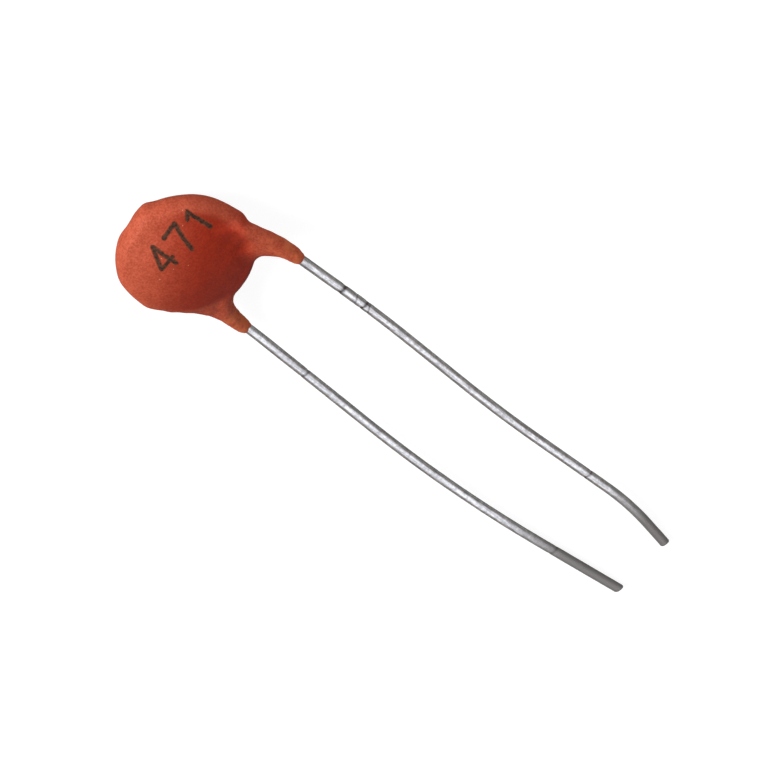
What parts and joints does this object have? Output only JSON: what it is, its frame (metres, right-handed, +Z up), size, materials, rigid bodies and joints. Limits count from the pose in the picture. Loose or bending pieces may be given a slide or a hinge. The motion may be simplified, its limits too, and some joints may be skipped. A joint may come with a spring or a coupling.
{
  "type": "ceramic disc capacitor",
  "caption": "Dipped ceramic disc capacitor with long tinned wire leads, each from its own face of the disc, and a printed value code.",
  "frame": {"origin": "middle of the part's box, on the surface that it lies on", "axes": "the leads run along -Y, +Z is up out of the marked face, +X is to the right of the marking"},
  "size_m": [0.0074, 0.035, 0.0027],
  "materials": {
    "phenolic_coat": "dipped phenolic resin, matte and fine-grained",
    "titanate_ceramic": "sintered, unglazed",
    "fired_silver": "fired silver film, satin",
    "solder": "solder, satin",
    "tinned_wire": "hot-dipped tin, bright with soft streaks",
    "marking_ink": "stamped ink, matte"
  },
  "bodies": {
    "root": {"coating": "phenolic_coat", "ceramic_disc": "titanate_ceramic", "front_electrode": "fired_silver", "rear_electrode": "fired_silver", "front_solder": "solder", "rear_solder": "solder", "front_lead": "tinned_wire", "rear_lead": "tinned_wire", "value_marking": "marking_ink"}
  },
  "joints": []
}
